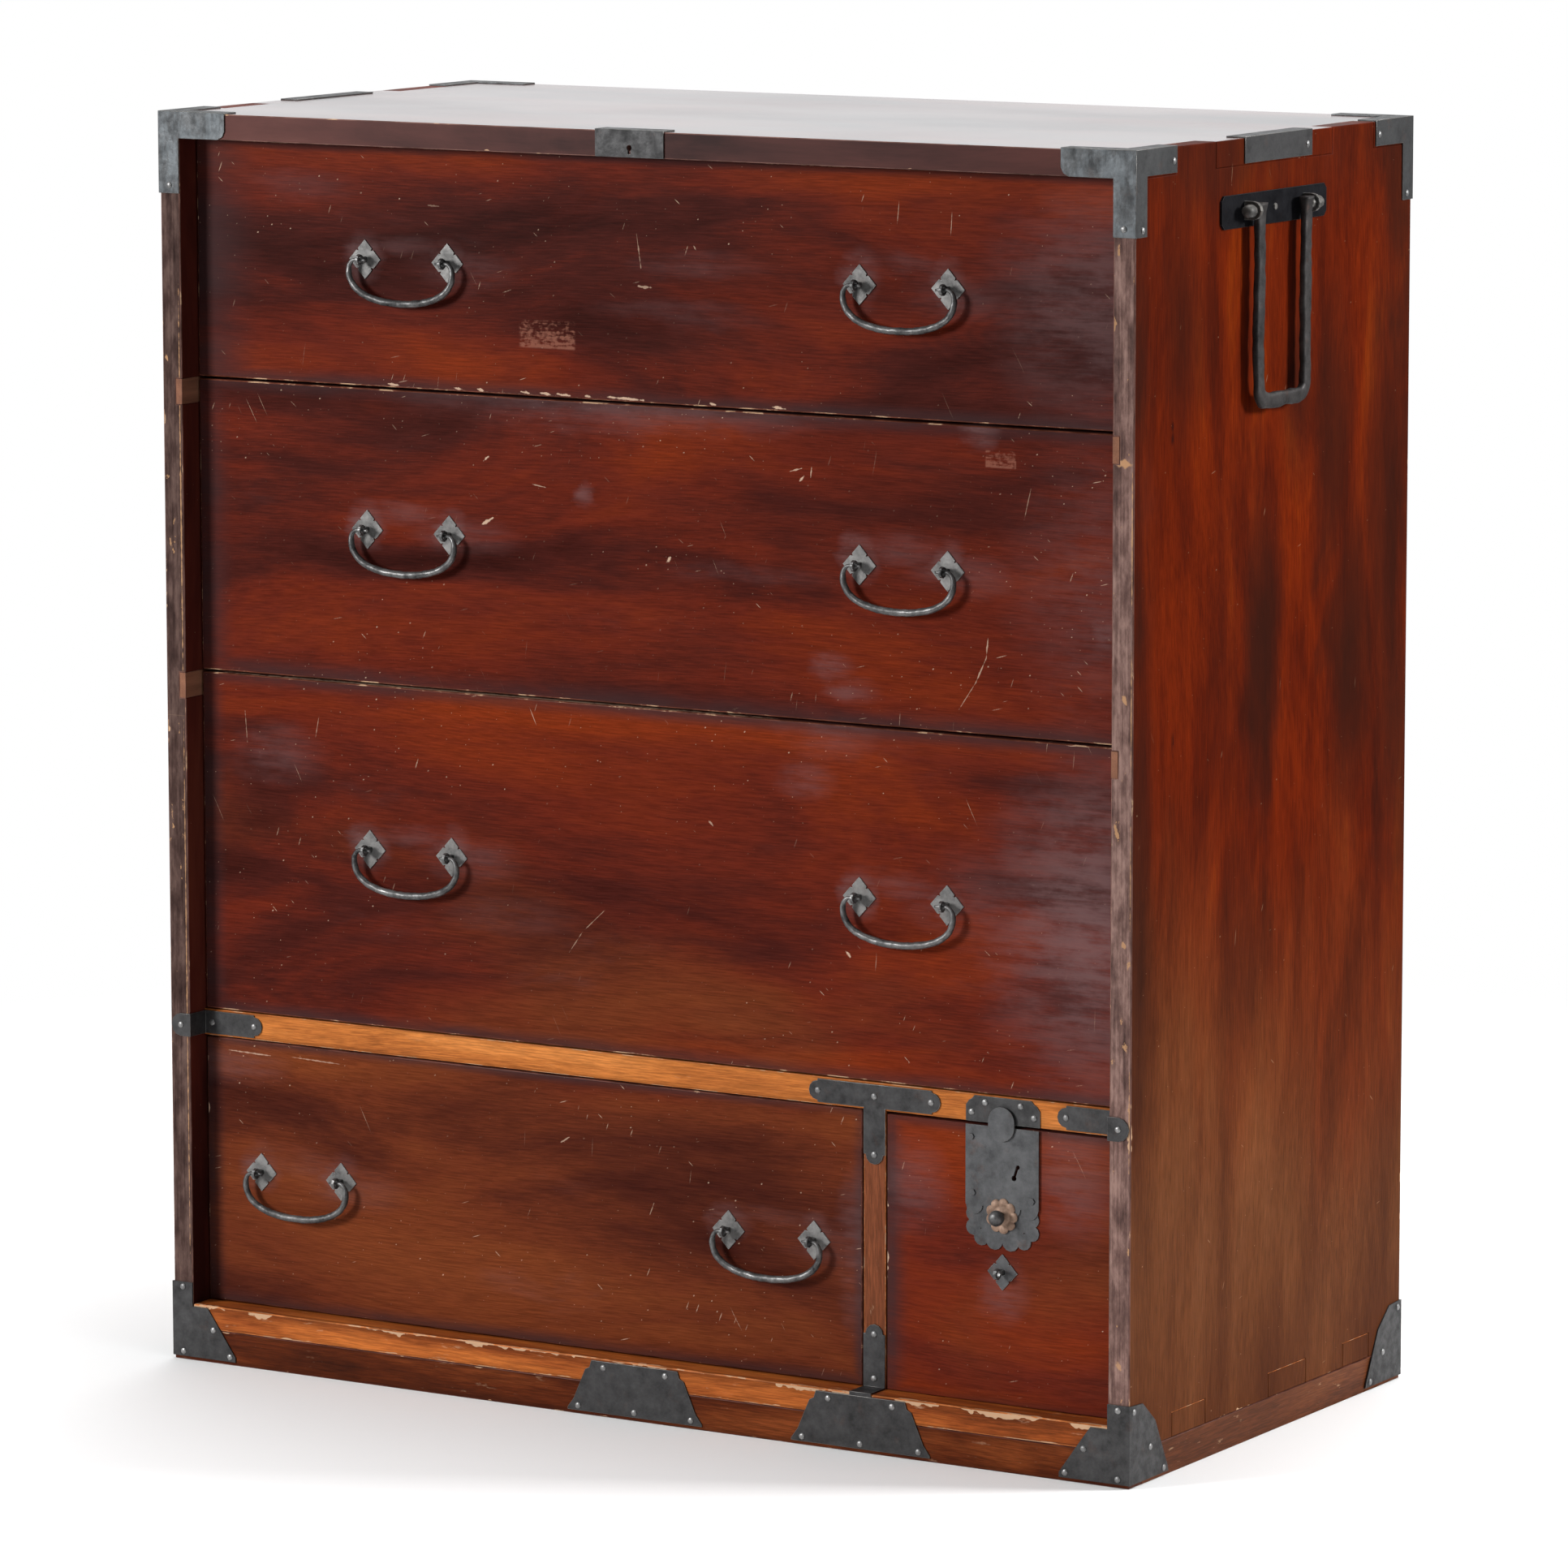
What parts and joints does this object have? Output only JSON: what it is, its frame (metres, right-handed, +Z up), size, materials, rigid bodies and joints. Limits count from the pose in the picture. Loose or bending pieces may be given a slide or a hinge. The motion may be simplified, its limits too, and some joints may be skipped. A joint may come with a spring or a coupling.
{
  "type": "clothing chest",
  "caption": "Low lacquered wooden clothing chest with stacked full-width drawers, a small locked compartment at the lower right, forged bail handles and iron corner fittings.",
  "frame": {"origin": "on the floor under the middle of the chest", "axes": "+X to the chest's right as seen from the front, +Y to its back, +Z up"},
  "size_m": [0.9436, 0.4646, 1.0412],
  "materials": {
    "top_lacquer": "glossy lacquer",
    "side_lacquer": "worn satin lacquer",
    "amber_lacquer": "worn amber lacquer",
    "dark_lacquer": "worn satin lacquer",
    "front_lacquer": "satin lacquer",
    "bare_wood": "bare, aged",
    "inner_wood": "bare, aged",
    "sheet_iron": "worn dark iron",
    "forged_iron": "hand-worn iron",
    "rusty_iron": "rusted iron",
    "lock_iron": "dull iron"
  },
  "bodies": {
    "case": {"top_board": "top_lacquer", "left_side": "side_lacquer", "right_side": "side_lacquer", "bottom_board": "amber_lacquer", "back_panel": "bare_wood", "base_front": "dark_lacquer", "base_runners": "dark_lacquer", "middle_rail": "amber_lacquer", "dividers": "bare_wood", "dust_panels": "bare_wood", "dado_plugs": "bare_wood", "divider_post": "amber_lacquer", "partition": "bare_wood", "top_lock_case": "lock_iron", "top_lock_plate": "sheet_iron", "strike_plate": "sheet_iron", "inner_floor": "bare_wood", "inner_shelf": "bare_wood", "top_corner_caps": "sheet_iron", "top_edge_plates": "sheet_iron", "base_corner_caps": "sheet_iron", "base_plates": "sheet_iron", "rail_straps": "sheet_iron", "t_plate": "sheet_iron", "case_nails": "sheet_iron", "side_handle_plates": "sheet_iron"},
    "top_drawer": {"top_drawer_front": "front_lacquer", "top_drawer_box": "bare_wood", "top_drawer_fittings": "sheet_iron"},
    "top_drawer_left_bail": {"top_drawer_left_bail": "forged_iron"},
    "top_drawer_right_bail": {"top_drawer_right_bail": "forged_iron"},
    "second_drawer": {"second_drawer_front": "front_lacquer", "second_drawer_box": "bare_wood", "second_drawer_fittings": "sheet_iron"},
    "second_drawer_left_bail": {"second_drawer_left_bail": "forged_iron"},
    "second_drawer_right_bail": {"second_drawer_right_bail": "forged_iron"},
    "third_drawer": {"third_drawer_front": "front_lacquer", "third_drawer_box": "bare_wood", "third_drawer_fittings": "sheet_iron"},
    "third_drawer_left_bail": {"third_drawer_left_bail": "forged_iron"},
    "third_drawer_right_bail": {"third_drawer_right_bail": "forged_iron"},
    "bottom_drawer": {"bottom_drawer_front": "front_lacquer", "bottom_drawer_box": "bare_wood", "bottom_drawer_fittings": "sheet_iron"},
    "bottom_drawer_left_bail": {"bottom_drawer_left_bail": "forged_iron"},
    "bottom_drawer_right_bail": {"bottom_drawer_right_bail": "forged_iron"},
    "door": {"door_panel": "front_lacquer", "lock_plate": "sheet_iron", "lock_rosette": "rusty_iron", "lock_case": "lock_iron", "door_pull": "sheet_iron"},
    "lock_knob": {"lock_knob": "sheet_iron"},
    "lock_bolt": {"lock_bolt": "lock_iron"},
    "top_lock_bolt": {"top_lock_bolt": "lock_iron"},
    "right_side_handle": {"right_side_handle": "forged_iron"},
    "left_side_handle": {"left_side_handle": "forged_iron"},
    "lower_inner_drawer": {"lower_inner_drawer": "inner_wood", "lower_inner_drawer_pull": "sheet_iron"},
    "upper_inner_drawer": {"upper_inner_drawer": "inner_wood", "upper_inner_drawer_pull": "sheet_iron"}
  },
  "joints": [
    {"name": "top_drawer_slide", "type": "slide", "parent": "case", "child": "top_drawer", "axis": [0, -1, 0], "range_m": [0, 0.34]},
    {"name": "top_drawer_left_bail_hinge", "type": "hinge", "parent": "top_drawer", "child": "top_drawer_left_bail", "pos_m": [-0.228, -0.217, 0.926], "axis": [-1, 0, 0], "range_deg": [0, 165]},
    {"name": "top_drawer_right_bail_hinge", "type": "hinge", "parent": "top_drawer", "child": "top_drawer_right_bail", "pos_m": [0.238, -0.217, 0.926], "axis": [-1, 0, 0], "range_deg": [0, 165]},
    {"name": "second_drawer_slide", "type": "slide", "parent": "case", "child": "second_drawer", "axis": [0, -1, 0], "range_m": [0, 0.34]},
    {"name": "second_drawer_left_bail_hinge", "type": "hinge", "parent": "second_drawer", "child": "second_drawer_left_bail", "pos_m": [-0.228, -0.217, 0.706], "axis": [-1, 0, 0], "range_deg": [0, 165]},
    {"name": "second_drawer_right_bail_hinge", "type": "hinge", "parent": "second_drawer", "child": "second_drawer_right_bail", "pos_m": [0.238, -0.217, 0.706], "axis": [-1, 0, 0], "range_deg": [0, 165]},
    {"name": "third_drawer_slide", "type": "slide", "parent": "case", "child": "third_drawer", "axis": [0, -1, 0], "range_m": [0, 0.34]},
    {"name": "third_drawer_left_bail_hinge", "type": "hinge", "parent": "third_drawer", "child": "third_drawer_left_bail", "pos_m": [-0.228, -0.217, 0.4425], "axis": [-1, 0, 0], "range_deg": [0, 165]},
    {"name": "third_drawer_right_bail_hinge", "type": "hinge", "parent": "third_drawer", "child": "third_drawer_right_bail", "pos_m": [0.238, -0.217, 0.4425], "axis": [-1, 0, 0], "range_deg": [0, 165]},
    {"name": "bottom_drawer_slide", "type": "slide", "parent": "case", "child": "bottom_drawer", "axis": [0, -1, 0], "range_m": [0, 0.34]},
    {"name": "bottom_drawer_left_bail_hinge", "type": "hinge", "parent": "bottom_drawer", "child": "bottom_drawer_left_bail", "pos_m": [-0.34, -0.217, 0.162], "axis": [-1, 0, 0], "range_deg": [0, 165]},
    {"name": "bottom_drawer_right_bail_hinge", "type": "hinge", "parent": "bottom_drawer", "child": "bottom_drawer_right_bail", "pos_m": [0.116, -0.217, 0.162], "axis": [-1, 0, 0], "range_deg": [0, 165]},
    {"name": "door_tilt", "type": "hinge", "parent": "case", "child": "door", "pos_m": [0.329, -0.207, 0.0494], "axis": [1, 0, 0], "range_deg": [0, 90]},
    {"name": "lock_knob_turn", "type": "hinge", "parent": "door", "child": "lock_knob", "pos_m": [0.329, -0.208, 0.1998], "axis": [0, 1, 0], "range_deg": [0, 90]},
    {"name": "lock_bolt_slide", "type": "slide", "parent": "door", "child": "lock_bolt", "axis": [0, 0, 1], "range_m": [0, 0.006]},
    {"name": "top_lock_bolt_slide", "type": "slide", "parent": "case", "child": "top_lock_bolt", "axis": [0, 0, -1], "range_m": [0, 0.006]},
    {"name": "right_side_handle_hinge", "type": "hinge", "parent": "case", "child": "right_side_handle", "pos_m": [0.4645, -0.008, 0.984], "axis": [0, -1, 0], "range_deg": [0, 180]},
    {"name": "left_side_handle_hinge", "type": "hinge", "parent": "case", "child": "left_side_handle", "pos_m": [-0.4645, -0.008, 0.984], "axis": [0, 1, 0], "range_deg": [0, 180]},
    {"name": "lower_inner_drawer_slide", "type": "slide", "parent": "case", "child": "lower_inner_drawer", "axis": [0, -1, 0], "range_m": [0, 0.088]},
    {"name": "upper_inner_drawer_slide", "type": "slide", "parent": "case", "child": "upper_inner_drawer", "axis": [0, -1, 0], "range_m": [0, 0.088]}
  ],
  "couplings": [
    {"joint": "lower_inner_drawer_slide", "follows": "door_tilt", "m_per_rad": 0.056},
    {"joint": "upper_inner_drawer_slide", "follows": "door_tilt", "m_per_rad": 0.056}
  ]
}
